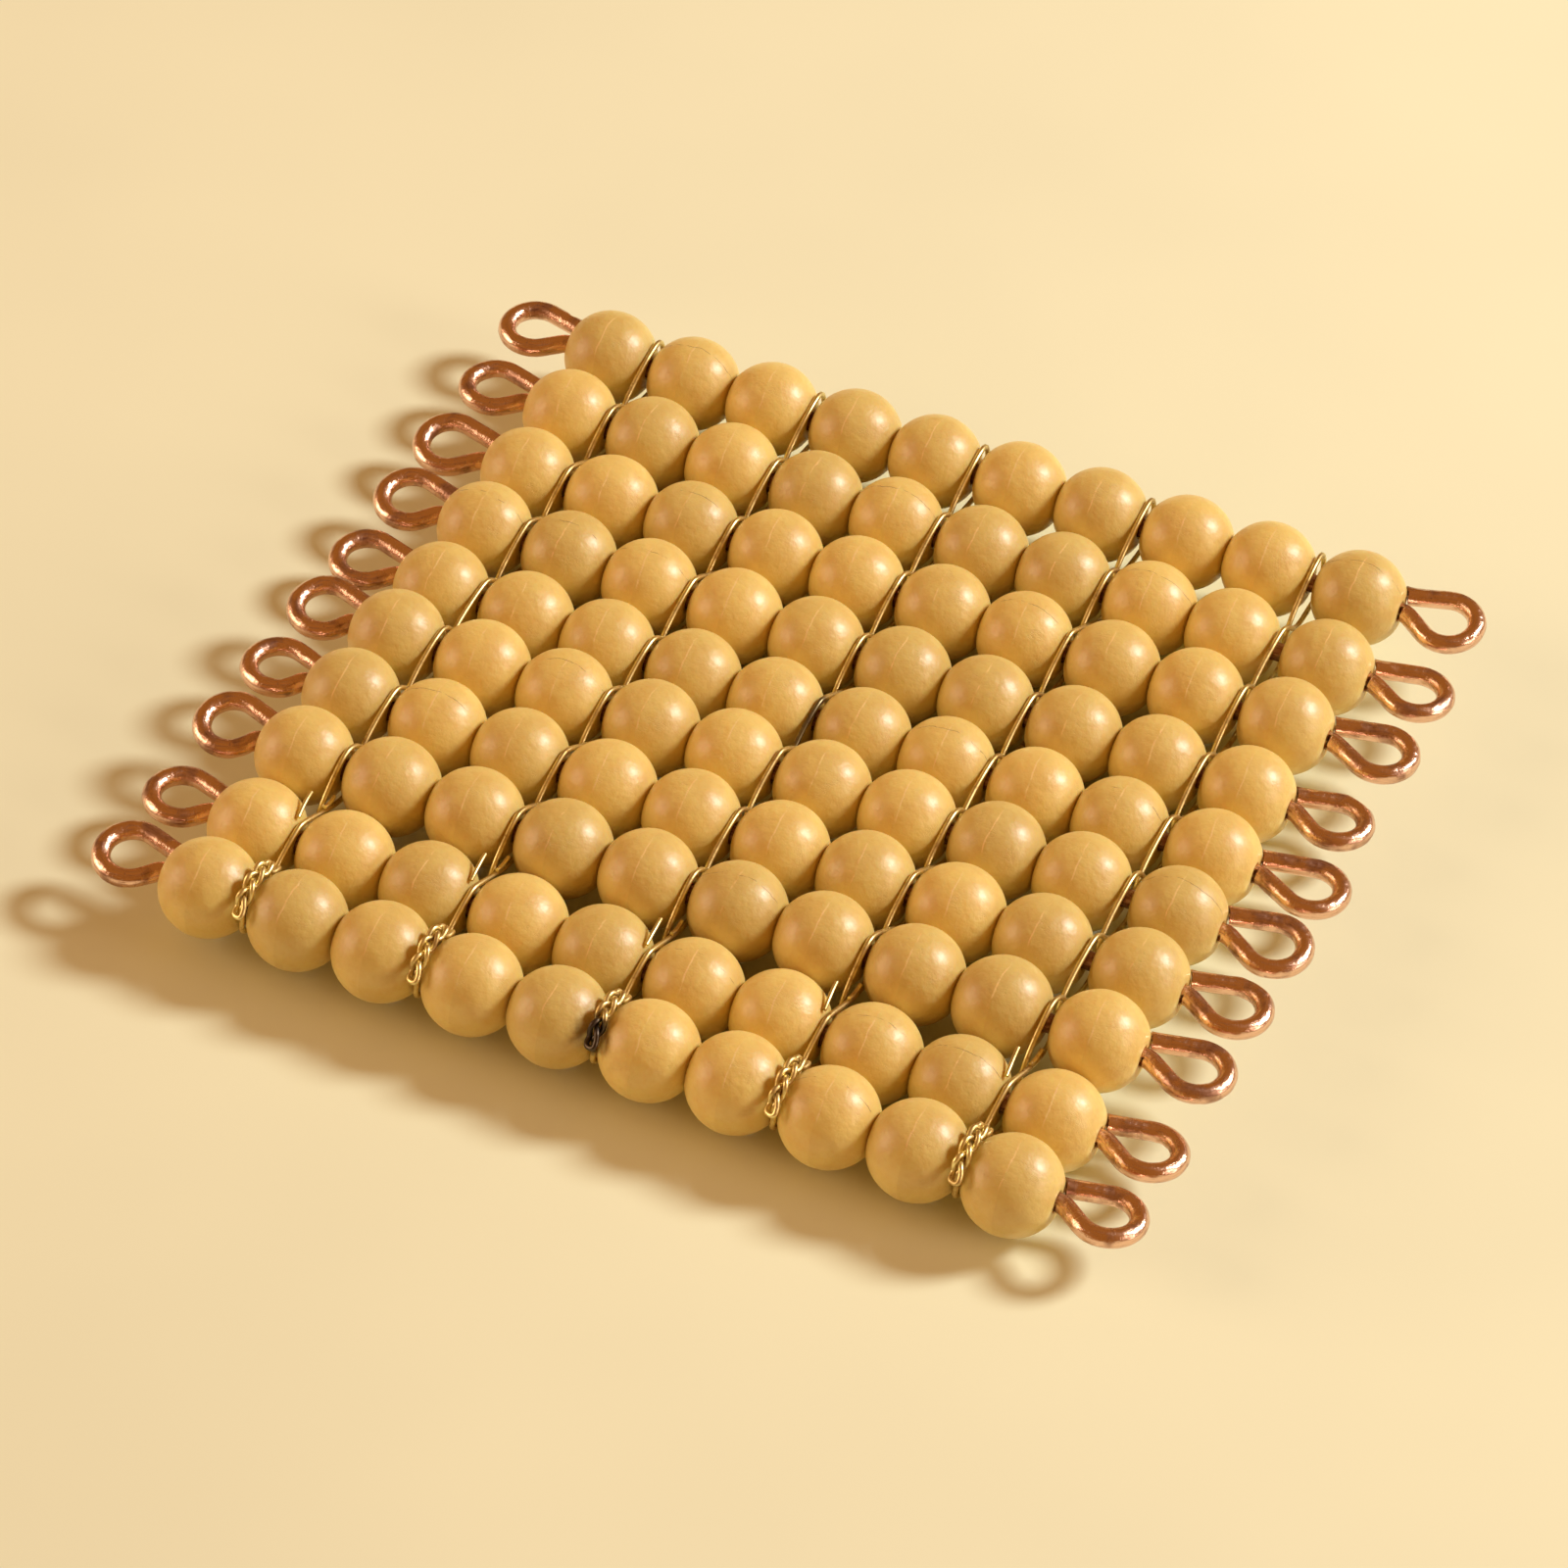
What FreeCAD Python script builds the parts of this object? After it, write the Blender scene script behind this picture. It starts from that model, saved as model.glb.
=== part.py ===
import FreeCAD, Part
import math
import os

# Golden bead square: ten bars of ten beads, each bar threaded on a copper wire with a loop at
# each end, and five thin brass wires laced across the bars.
# Millimetres and degrees. X runs along the bars, Y from the front bar to the back one, Z is up.

# Beads
BEADS = 10
BEAD_DIAMETER = 7.5
BORE_CLEARANCE = 0.1
POLE_RIM = 0.75
BEAD_GAP = 0.025
BAR_GAP = 0.03

# How much wider the lacing wedges every second groove between the beads
LACED_GAP = 0.38

# How far the last bead of each bar has slid outwards, from the front bar to the back one
LAST_BEAD_SLIDE = (0.0, 0.1, 0.3, 0.4, 0.4, 0.2, 0.0, 0.1, 0.5, 0.2)

# How high each bar lies above the table at its two ends, from the front bar to the back one
LIFT_LEFT = (0.9, 0.4, 1.5, 1.2, 1.1, 0.0, 0.3, 0.1, 0.4, 0.9)
LIFT_RIGHT = (0.5, 0.0, 1.4, 1.0, 0.7, 0.0, 0.0, 0.8, 0.8, 1.8)

# Bar wires: each loop has a straight leg of its own length and a roll of its own about the bar
WIRE_DIAMETER = 1.46
LOOP_RADIUS = 2.24
LOOP_SWAY = 0.4
NECK_LENGTH = 0.45
NECK_BEND = 1.0
LEG_LEFT = (1.6, 1.4, 1.0, 1.0, 1.0, 1.6, 1.6, 2.2, 1.8, 2.1)
LEG_RIGHT = (2.3, 2.3, 2.7, 2.5, 2.8, 3.2, 2.2, 3.0, 2.5, 2.4)
ROLL_LEFT = (8, 0, 11, 2, 10, 6, 11, 13, 2, 3)
ROLL_RIGHT = (-6, -6, 0, -1, 5, -1, -3, 1, -2, 8)
END_OFFSET_LEFT = 1.85
END_OFFSET_RIGHT = 1.68
END_GAP = 0.05

# Lacing wires
LACE_DIAMETER = 0.42
LACE_CLEARANCE = 0.06
STRAND_GAP = 0.04

# Plait over the front bar: angles from the top of the bar towards its back
PLAIT_HALF_WIDTH = 0.5
PLAIT_HALF_HEIGHT = 0.4
PLAIT_SWING = 540.0
PLAIT_STEP = 30.0
PLAIT_TOP = 60.0
PLAIT_LOW = -46.0
THIRD_OF_TURN = 120.0
EYE_STEP = 12.0
EYE_RISE_IN = 0.2
EYE_RISE_OUT = 0.6
HOOK_STEP = 12.0
HOOK_DROP = 0.5
UNDER_TURN = 40.0
UNDER_BENDS = 3

# Share of a run that the bend at each of its ends may take
BEND_SHARE = 0.48

BARS = len(LIFT_LEFT)
BEAD_RADIUS = BEAD_DIAMETER / 2
BORE_RADIUS = WIRE_DIAMETER / 2 + BORE_CLEARANCE
POLE_RADIUS = BORE_RADIUS + POLE_RIM
BEAD_LENGTH = 2 * math.sqrt(BEAD_RADIUS ** 2 - POLE_RADIUS ** 2)
PITCH = BEAD_LENGTH + BEAD_GAP
SPAN = (BEADS - 1) * PITCH + BEADS // 2 * LACED_GAP
HALF_ROW = (SPAN + BEAD_LENGTH) / 2
WIRE_RADIUS = WIRE_DIAMETER / 2
LACE_RADIUS = LACE_DIAMETER / 2
STRAND_OFFSET = LACE_RADIUS + STRAND_GAP / 2

X_AXIS = FreeCAD.Vector(1, 0, 0)
Y_AXIS = FreeCAD.Vector(0, 1, 0)
ORIGIN = FreeCAD.Vector(0, 0, 0)


def bead_place(bead_number):
    """X of a bead's centre, counted from the left, with the laced grooves standing wider."""
    return bead_number * PITCH + (bead_number + 1) // 2 * LACED_GAP - SPAN / 2


def seat_radius(offset):
    """Distance from a bar's axis at which a strand just clears the beads beside its groove."""
    reach = BEAD_RADIUS + LACE_RADIUS + LACE_CLEARANCE
    return math.sqrt(reach ** 2 - ((PITCH + LACED_GAP) / 2 - offset) ** 2)


PLAIT_RADIUS = seat_radius(PLAIT_HALF_WIDTH) + PLAIT_HALF_HEIGHT


def bar_depths():
    """Y of each bar's axis, so that beads of neighbouring bars never touch."""
    depths = [0.0]
    for bar in range(1, BARS):
        left = LIFT_LEFT[bar] - LIFT_LEFT[bar - 1]
        right = LIFT_RIGHT[bar] - LIFT_RIGHT[bar - 1]
        climb = min(abs(left), abs(right)) if left * right > 0 else 0.0
        reach = BEAD_DIAMETER + BAR_GAP
        depths.append(depths[-1] + math.sqrt(reach ** 2 - climb ** 2))
    middle = depths[-1] / 2
    return [depth - middle for depth in depths]


def bar_height(bar, x):
    """Z of a bar's axis at a place along it."""
    lift = (LIFT_LEFT[bar] + LIFT_RIGHT[bar]) / 2
    slope = (LIFT_RIGHT[bar] - LIFT_LEFT[bar]) / SPAN
    return BEAD_RADIUS + lift + slope * x


def bar_placement(bar, depth):
    """Where a bar made about the X axis lies in the square."""
    tilt = math.degrees(math.atan2(LIFT_RIGHT[bar] - LIFT_LEFT[bar], SPAN))
    place = FreeCAD.Vector(0, depth, bar_height(bar, 0))
    return FreeCAD.Placement(place, FreeCAD.Rotation(Y_AXIS, -tilt))


def rounded_path(corners, largest_bend):
    """Straight runs through the corners, joined by tangent arcs.

    Each bend is as large as the shorter of its two runs allows, up to the largest radius.
    """
    edges = []
    start = corners[0]
    for before, corner, after in zip(corners, corners[1:], corners[2:]):
        run_in = corner - before
        run_out = after - corner
        shorter = min(run_in.Length, run_out.Length)
        run_in.normalize()
        run_out.normalize()
        half_turn = run_in.getAngle(run_out) / 2
        radius = min(largest_bend, BEND_SHARE * shorter / math.tan(half_turn))
        tangent = radius * math.tan(half_turn)
        inward = (run_out - run_in).normalize()
        arc_start = corner - run_in * tangent
        arc_end = corner + run_out * tangent
        arc_middle = corner + inward * (radius / math.cos(half_turn) - radius)
        edges.append(Part.LineSegment(start, arc_start).toShape())
        edges.append(Part.Arc(arc_start, arc_middle, arc_end).toShape())
        start = arc_end
    edges.append(Part.LineSegment(start, corners[-1]).toShape())
    return edges


def drawn_wire(edges, radius):
    """A round wire along a path of edges."""
    path = Part.Wire(edges)
    first = edges[0]
    start = first.valueAt(first.FirstParameter)
    heading = first.tangentAt(first.FirstParameter)
    section = Part.Wire(Part.Circle(start, heading, radius).toShape())
    sweep = Part.BRepOffsetAPI.MakePipeShell(path)
    sweep.setFrenetMode(False)
    sweep.add(section)
    sweep.build()
    sweep.makeSolid()
    wire = sweep.shape()
    return wire if wire.ShapeType == "Solid" else wire.Solids[0]


def bead():
    """One bead about the X axis: a ball with a flat ring round its bore at each pole."""
    half = BEAD_LENGTH / 2
    bore_left = FreeCAD.Vector(-half, 0, BORE_RADIUS)
    bore_right = FreeCAD.Vector(half, 0, BORE_RADIUS)
    pole_left = FreeCAD.Vector(-half, 0, POLE_RADIUS)
    pole_right = FreeCAD.Vector(half, 0, POLE_RADIUS)
    crown = FreeCAD.Vector(0, 0, BEAD_RADIUS)
    outline = Part.Wire([
        Part.LineSegment(bore_left, pole_left).toShape(),
        Part.Arc(pole_left, crown, pole_right).toShape(),
        Part.LineSegment(pole_right, bore_right).toShape(),
        Part.LineSegment(bore_right, bore_left).toShape(),
    ])
    return Part.Face(outline).revolve(ORIGIN, X_AXIS, 360)


def bead_row(bar):
    """The beads of one bar, about the X axis."""
    beads = []
    for bead_number in range(BEADS):
        one = bead()
        one.translate(X_AXIS * bead_place(bead_number))
        beads.append(one)
    beads[-1].translate(X_AXIS * LAST_BEAD_SLIDE[bar])
    return Part.makeCompound(beads)


def tangent_point(outside, centre, radius, side):
    """Where a line from an outside point touches a circle, to the left or right of its centre."""
    across = centre - outside
    turn = math.asin(radius / across.Length) * side
    length = math.sqrt(across.Length ** 2 - radius ** 2)
    heading = math.atan2(across.y, across.x) + turn
    return outside + FreeCAD.Vector(math.cos(heading), math.sin(heading), 0) * length


def loop_centre(leg):
    """X of the round part's centre, from the pole, for a leg from the neck of this length."""
    return NECK_LENGTH + math.sqrt(leg ** 2 + LOOP_RADIUS ** 2 - LOOP_SWAY ** 2)


def loop_points(leg, end_offset):
    """Points that set one end loop: its neck, both ends and crest of its round part, its cut end.

    Drawn in the XY plane with the bead's pole at the origin and the bar pointing to +X.
    """
    centre = FreeCAD.Vector(loop_centre(leg), LOOP_SWAY, 0)
    neck = X_AXIS * NECK_LENGTH
    cut_end = FreeCAD.Vector(END_GAP, end_offset, 0)
    leaves = tangent_point(neck, centre, LOOP_RADIUS, -1)
    returns = tangent_point(cut_end, centre, LOOP_RADIUS, 1)
    crest = centre + X_AXIS * LOOP_RADIUS
    return neck, leaves, crest, returns, cut_end


def at_bar_end(points, side, pole, roll):
    """Points of a loop moved to the left or right end of a bar and rolled about its axis."""
    turn = FreeCAD.Rotation(X_AXIS, roll)
    moved = [X_AXIS * pole + turn.multVec(point) for point in points]
    return [FreeCAD.Vector(side * point.x, point.y, point.z) for point in moved]


def bar_wire(bar):
    """The copper wire of one bar about the X axis: a straight core and two end loops."""
    left_points = loop_points(LEG_LEFT[bar], END_OFFSET_LEFT)
    right_points = loop_points(LEG_RIGHT[bar], END_OFFSET_RIGHT)
    right_pole = HALF_ROW + LAST_BEAD_SLIDE[bar]
    left = at_bar_end(left_points, -1, HALF_ROW, ROLL_LEFT[bar])
    right = at_bar_end(right_points, 1, right_pole, ROLL_RIGHT[bar])
    left_neck, left_leaves, left_crest, left_returns, left_cut = left
    right_neck, right_leaves, right_crest, right_returns, right_cut = right
    core = rounded_path([left_leaves, left_neck, right_neck, right_leaves], NECK_BEND)
    left_loop = [
        Part.LineSegment(left_cut, left_returns).toShape(),
        Part.Arc(left_returns, left_crest, left_leaves).toShape(),
    ]
    right_loop = [
        Part.Arc(right_leaves, right_crest, right_returns).toShape(),
        Part.LineSegment(right_returns, right_cut).toShape(),
    ]
    return drawn_wire(left_loop + core + right_loop, WIRE_RADIUS)


def around(axis, angle, radius, x):
    """A point round a bar's axis, at an angle from straight up towards the back."""
    turn = math.radians(angle)
    return FreeCAD.Vector(x, axis[0] + radius * math.sin(turn), axis[1] + radius * math.cos(turn))


def side_of_bar(first_side, bar):
    """Whether a strand passes over a bar, 1, or under it, -1, from its side of the first bar."""
    return first_side if bar % 2 == 0 else -first_side


def strand_headings(axes, first_side):
    """Slope of a strand between each two bars, which it passes on opposite sides."""
    seat = seat_radius(STRAND_OFFSET)
    headings = []
    for bar, (front, rear) in enumerate(zip(axes, axes[1:])):
        run = math.hypot(rear[0] - front[0], rear[1] - front[1])
        rise = math.atan2(rear[1] - front[1], rear[0] - front[0])
        dip = math.asin(2 * seat / run)
        headings.append(rise - side_of_bar(first_side, bar) * dip)
    return headings


def belt_corner(axis, side, first, second, x):
    """Corner outside a bar, where two lines that touch its seat circle meet."""
    reach = side * seat_radius(STRAND_OFFSET) / math.cos((first - second) / 2)
    return around(axis, -math.degrees((first + second) / 2), reach, x)


def strand(axes, column, first_side):
    """Corners of one strand round all bars but the first and last, from the front."""
    headings = strand_headings(axes, first_side)
    corners = []
    for bar in range(1, len(axes) - 1):
        side = side_of_bar(first_side, bar)
        shift = side * STRAND_OFFSET
        crest = (headings[bar - 1] + headings[bar]) / 2
        corners.append(belt_corner(axes[bar], side, headings[bar - 1], crest, column + shift))
        corners.append(belt_corner(axes[bar], side, crest, headings[bar], column - shift))
    return corners


def fold_end(axes, column, first_side):
    """The two corners with which a strand goes round the back bar, up to the middle of its back."""
    side = side_of_bar(first_side, len(axes) - 1)
    seat = seat_radius(STRAND_OFFSET)
    x = column + side * STRAND_OFFSET
    heading = strand_headings(axes, first_side)[-1]
    depth, height = axes[-1]
    near = belt_corner(axes[-1], side, heading, 0.0, x)
    far = FreeCAD.Vector(x, depth + seat, height + side * seat)
    return [near, far]


def plait_corner(axis, column, angle, swing):
    """A corner of a plaited strand: it swings across the groove once while it rises twice."""
    turn = math.radians(swing)
    height = PLAIT_HALF_HEIGHT * math.sin(2 * turn)
    return around(axis, angle, PLAIT_RADIUS + height, column + PLAIT_HALF_WIDTH * math.sin(turn))


def plait_run(axis, column, phase):
    """Corners of one of the three plaited strands over the front bar, from its top downwards."""
    steps = round(PLAIT_SWING / PLAIT_STEP)
    corners = []
    for step in range(steps + 1):
        share = step / steps
        angle = PLAIT_TOP + (PLAIT_LOW - PLAIT_TOP) * share
        corners.append(plait_corner(axis, column, angle, phase + PLAIT_SWING * share))
    return corners


def plait_eye(axis, column):
    """The turn at the plait's low end, from its first strand to its third."""
    angle = PLAIT_LOW - EYE_STEP
    first_end = math.radians(PLAIT_SWING + THIRD_OF_TURN)
    side = math.copysign(PLAIT_HALF_WIDTH, math.sin(first_end))
    return [
        around(axis, angle, PLAIT_RADIUS + EYE_RISE_IN, column + side),
        around(axis, angle, PLAIT_RADIUS + EYE_RISE_OUT, column - side),
    ]


def plait_hook(axis, column):
    """The cut end that curls into the groove behind the plait's top."""
    inner = PLAIT_RADIUS - HOOK_DROP
    return [
        around(axis, PLAIT_TOP + 2 * HOOK_STEP, inner, column + STRAND_OFFSET),
        around(axis, PLAIT_TOP + HOOK_STEP, PLAIT_RADIUS, column + PLAIT_HALF_WIDTH),
    ]


def front_underside(axes, column):
    """Corners of the strand that comes up under the front bar into the plait."""
    heading = strand_headings(axes, -1)[0]
    reach = seat_radius(STRAND_OFFSET) / math.cos(math.radians(UNDER_TURN / 2))
    corners = [belt_corner(axes[0], -1, heading, 0.0, column + STRAND_OFFSET)]
    for bend in range(UNDER_BENDS):
        angle = 180 + UNDER_TURN * (bend + 0.5)
        corners.append(around(axes[0], angle, reach, column))
    return corners


def lacing_corners(axes, column):
    """Corners of a whole lacing wire: it starts at the front, folds at the back and returns."""
    front, second = axes[:2]
    crossing = FreeCAD.Vector(
        column - STRAND_OFFSET,
        (front[0] + second[0]) / 2,
        (front[1] + second[1]) / 2,
    )
    corners = plait_hook(front, column) + plait_run(front, column, THIRD_OF_TURN)
    corners += plait_eye(front, column) + plait_run(front, column, -THIRD_OF_TURN)[::-1]
    corners += [crossing] + strand(axes, column, 1) + fold_end(axes, column, 1)
    corners += fold_end(axes, column, -1)[::-1] + strand(axes, column, -1)[::-1]
    corners += front_underside(axes, column) + plait_run(front, column, 0)[::-1]
    return corners


def lacing_wire(depths, column):
    """One brass wire: folded round the back bar, twined over and under, plaited at the front."""
    axes = [(depths[bar], bar_height(bar, column)) for bar in range(BARS)]
    largest_bend = 2 * BEND_SHARE * seat_radius(STRAND_OFFSET)
    return drawn_wire(rounded_path(lacing_corners(axes, column), largest_bend), LACE_RADIUS)


def lacing_columns():
    """X of every second groove between the beads, where a lacing wire lies."""
    grooves = range(0, BEADS - 1, 2)
    return [(bead_place(groove) + bead_place(groove + 1)) / 2 for groove in grooves]


def centring_shift():
    """Move along X that puts the middle of the whole square, loops included, over the origin."""
    right_poles = [HALF_ROW + slide for slide in LAST_BEAD_SLIDE]
    left_reach = HALF_ROW + max(loop_centre(leg) for leg in LEG_LEFT)
    right_reach = max(pole + loop_centre(leg) for pole, leg in zip(right_poles, LEG_RIGHT))
    return X_AXIS * ((left_reach - right_reach) / 2)


def save(shape, name):
    shape.exportStep(os.path.join("parts", name + ".step"))


os.makedirs("parts", exist_ok=True)
bar_places = bar_depths()
to_centre = centring_shift()

for bar in range(BARS):
    place = bar_placement(bar, bar_places[bar])
    place.move(to_centre)
    row = bead_row(bar)
    row.Placement = place
    save(row, "bead_row_%02d" % (bar + 1))
    wire = bar_wire(bar)
    wire.Placement = place
    save(wire, "bar_wire_%02d" % (bar + 1))

for number, column in enumerate(lacing_columns(), 1):
    lacing = lacing_wire(bar_places, column)
    lacing.translate(to_centre)
    save(lacing, "lacing_wire_%d" % number)
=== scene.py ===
import math
import random
from functools import partial

import bmesh
import bpy
from mathutils import Matrix, Vector, kdtree, noise


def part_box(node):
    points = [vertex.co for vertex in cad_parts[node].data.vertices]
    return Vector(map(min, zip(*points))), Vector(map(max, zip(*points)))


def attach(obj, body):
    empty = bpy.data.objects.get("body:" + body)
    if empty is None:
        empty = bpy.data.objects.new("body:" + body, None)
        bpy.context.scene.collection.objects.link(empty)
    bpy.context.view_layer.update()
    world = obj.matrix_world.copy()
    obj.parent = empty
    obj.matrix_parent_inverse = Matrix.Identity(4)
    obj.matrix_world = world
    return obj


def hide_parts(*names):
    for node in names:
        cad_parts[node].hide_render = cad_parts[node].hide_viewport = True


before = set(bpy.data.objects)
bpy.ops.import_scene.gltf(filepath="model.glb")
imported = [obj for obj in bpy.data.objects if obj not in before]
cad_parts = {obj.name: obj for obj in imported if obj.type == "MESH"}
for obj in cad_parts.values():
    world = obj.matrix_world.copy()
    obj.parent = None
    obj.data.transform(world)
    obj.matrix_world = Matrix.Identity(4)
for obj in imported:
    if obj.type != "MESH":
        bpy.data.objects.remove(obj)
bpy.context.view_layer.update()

bl_info = {
    "name": "Golden Bead Square",
    "version": (1, 0, 0),
    "blender": (4, 5, 0),
    "location": "View3D > Sidebar > Bead Square",
    "description": "Builds a counting square of golden beads on copper wires, laced with brass wire",
    "category": "Object",
}

MM = 0.001
BARS = 10
BEADS = 10
X_AXIS = Vector((1, 0, 0))
SOOTY_GROOVE = 4  # the groove of the third lacing wire

BEAD_SEED = 3
COPPER_SEED = 3
BRASS_SEED = 5


# Settings

Length = partial(bpy.props.FloatProperty, unit="LENGTH")
Angle = partial(bpy.props.FloatProperty, unit="ROTATION")
Power = partial(bpy.props.FloatProperty, unit="POWER")
Colour = partial(bpy.props.FloatVectorProperty, subtype="COLOR")


class BeadSettings(bpy.types.PropertyGroup):
    diameter: Length(
        name="Diameter", description="Width of a bead across its crown", default=0.0075)
    bore: Length(
        name="Bore", description="Width of the hole through a bead", default=0.00166)
    pole_rim: Length(
        name="Pole rim", description="Width of the flat ring round the bore", default=0.00075)
    rim_round: Length(
        name="Rim rounding", description="Depth of the rounding between the ball and the pole rim",
        default=0.00013)
    bore_round: Length(
        name="Bore rounding", description="Rounding of the bore's edge", default=0.00008)
    bead_gap: Length(
        name="Bead gap", description="Space between neighbouring beads of a bar", default=0.000025)
    laced_gap: Length(
        name="Laced gap", description="Further space in each groove that holds a lacing wire",
        default=0.00038)
    seam_width: Length(
        name="Seam width", description="Width of the moulding seam round a bead's middle",
        default=0.00011)
    seam_height: Length(
        name="Seam height", description="How far the moulding seam stands proud", default=0.000005)
    unevenness: Length(
        name="Unevenness", description="How far the moulded surface wanders from a true ball",
        default=0.00003)
    colour: Colour(
        name="Colour", description="Ochre plastic", default=(0.86, 0.69, 0.23))
    deep_colour: Colour(
        name="Deep colour", description="Darker ochre of the mottling", default=(0.77, 0.55, 0.16))
    # Pale flash, also used as the painted highlight along the top of the seam.
    seam_flash_and_highlight_colour: Colour(
        name="Seam colour", description="Pale flash along the seam", default=(0.95, 0.74, 0.34))
    crack_colour: Colour(
        name="Crack colour", description="Dirt in the fine cracks", default=(0.20, 0.085, 0.02))


class BarWireSettings(bpy.types.PropertyGroup):
    diameter: Length(
        name="Diameter", description="Thickness of the copper wire", default=0.00146)
    loop_radius: Length(
        name="Loop radius", description="Radius of the round part of a loop", default=0.00224)
    loop_sway: Length(
        name="Loop sway", description="How far a loop's centre lies behind its bar",
        default=0.0004)
    neck_length: Length(
        name="Neck", description="Straight wire between the last bead and the first bend",
        default=0.00045)
    neck_bend: Length(
        name="Neck bend", description="Length of wire taken by the bend on each side of the neck",
        default=0.0006)
    end_offset: bpy.props.FloatVectorProperty(
        name="Cut end", description="Place of the wire's cut end beside its bar, left and right",
        default=(0.00185, 0.00168), size=2, unit="LENGTH")
    end_gap: Length(
        name="End gap", description="Space between the cut end and the last bead", default=0.00005)
    roll_left: bpy.props.FloatVectorProperty(
        name="Left rolls", description="Roll of each left loop about its bar, front to back",
        default=[math.radians(a) for a in (8, 0, 11, 2, 10, 6, 11, 13, 2, 3)],
        size=BARS, unit="ROTATION")
    roll_right: bpy.props.FloatVectorProperty(
        name="Right rolls", description="Roll of each right loop about its bar, front to back",
        default=[math.radians(a) for a in (-6, -6, 0, -1, 5, -1, -3, 1, -2, 8)],
        size=BARS, unit="ROTATION")
    mark_depth: Length(
        name="Plier marks", description="Depth of the flats that the pliers left", default=0.00009)
    colour: Colour(
        name="Colour", description="Bright copper", default=(0.89, 0.59, 0.44))
    # Also used for the painted shade on the core between the beads.
    tarnish_colour: Colour(
        name="Tarnish", description="Brown tarnish on the copper", default=(0.26, 0.12, 0.075))


class LacingSettings(bpy.types.PropertyGroup):
    diameter: Length(
        name="Diameter", description="Thickness of the brass wire", default=0.00042)
    clearance: Length(
        name="Clearance", description="Space between the lacing and the beads", default=0.00006)
    strand_gap: Length(
        name="Strand gap", description="Space between two strands that pass each other",
        default=0.00004)
    loose_share: bpy.props.FloatProperty(
        name="Loose share", description="Share of crossings that lie half way between the bars",
        default=0.25)
    plait_half_width: Length(
        name="Plait half width", description="How far a plaited strand swings to each side",
        default=0.00042)
    plait_half_height: Length(
        name="Plait half height", description="How far a plaited strand rises and dips",
        default=0.00034)
    plait_lean: Length(
        name="Plait lean", description="How far the plait leans onto the bead on its right",
        default=0.00025)
    plait_swing: Angle(
        name="Plait swing", description="Swing of each strand over the whole plait",
        default=math.radians(540))
    plait_top: Angle(
        name="Plait top", description="Where the plait starts, from the top of the bar to its back",
        default=math.radians(78))
    plait_low: Angle(
        name="Plait low end", description="Where the plait ends at the front of the bar",
        default=math.radians(-52))
    colour: Colour(
        name="Colour", description="Bright brass", default=(0.92, 0.80, 0.38))
    tarnish_colour: Colour(
        name="Tarnish", description="Brown tarnish on the brass", default=(0.36, 0.20, 0.05))
    soot_colour: Colour(
        name="Soot", description="Blackened wire at the third plait",
        default=(0.045, 0.032, 0.035))


class StageSettings(bpy.types.PropertyGroup):
    floor_size: Length(
        name="Floor size", description="Width of the floor", default=6.0)
    floor_colour: Colour(
        name="Floor colour", description="Cream paper", default=(0.87, 0.905, 0.655))
    key_azimuth: Angle(
        name="Key azimuth", description="Direction of the key lamp, from +X towards +Y",
        default=math.radians(37))
    key_elevation: Angle(
        name="Key elevation", description="Height of the key lamp above the horizon",
        default=math.radians(38))
    key_power: Power(
        name="Key power", description="Power of the key lamp", default=9.1)
    fill_power: Power(
        name="Fill power", description="Power of the broad lamp on the left", default=4.2)
    side_power: Power(
        name="Side power", description="Power of the low lamp on the right", default=2.0)
    sky_colour: Colour(
        name="Surroundings", description="Warm light from all round", default=(0.33, 0.135, 0.025))
    camera_azimuth: Angle(
        name="Camera azimuth", description="Camera's turn round the square from its front",
        default=math.radians(21.526))
    camera_elevation: Angle(
        name="Camera elevation", description="Height of the camera above the horizon",
        default=math.radians(43.526))
    camera_roll: Angle(
        name="Camera roll", description="Turn of the camera about its own axis",
        default=math.radians(4.162))
    camera_distance: Length(
        name="Camera distance", description="From the camera to the point it looks at",
        default=0.48046)
    camera_target: bpy.props.FloatVectorProperty(
        name="Camera target", description="Point that the camera looks at",
        default=(0.00001, -0.00371, 0.00375), subtype="XYZ", unit="LENGTH")


# Selection and finishing

def deselect_all():
    for piece in bpy.context.selected_objects:
        piece.select_set(False)


def make_only(piece):
    """Make one object the selected and active one."""
    deselect_all()
    piece.select_set(True)
    bpy.context.view_layer.objects.active = piece


def near(value, target):
    return abs(value - target) < 0.02 * MM


def select_rings(piece, wanted):
    """In edit mode, select only the edges round the X axis whose ends both pass the test."""
    bpy.ops.mesh.select_all(action="DESELECT")
    mesh = bmesh.from_edit_mesh(piece.data)
    for edge in mesh.edges:
        first, second = (end.co for end in edge.verts)
        around = near(first.x, second.x) and near(first.yz.length, second.yz.length)
        if around and wanted(first) and wanted(second):
            edge.select_set(True)
    bmesh.update_edit_mesh(piece.data)


def store_points(mesh, name, kind, values):
    """Keep one value for each vertex as a named attribute."""
    attribute = mesh.attributes.new(name, kind, "POINT")
    slot = "vector" if kind == "FLOAT_VECTOR" else "value"
    for item, value in zip(attribute.data, values):
        setattr(item, slot, value)


def join(pieces, name):
    """Join like pieces into one object with the given name."""
    make_only(pieces[0])
    for piece in pieces:
        piece.select_set(True)
    bpy.ops.object.join()
    whole = bpy.context.active_object
    whole.name = name
    whole.data.name = name
    return whole


def hand_over(piece, finish, node):
    """Give a piece its finish and put it in its node's place."""
    piece.data.materials.clear()
    piece.data.materials.append(finish)
    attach(piece, "root")
    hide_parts(node)


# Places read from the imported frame

POLE_DEPTH = 0.08 * MM  # vertices this close to a row's end belong to its flat ring


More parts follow.
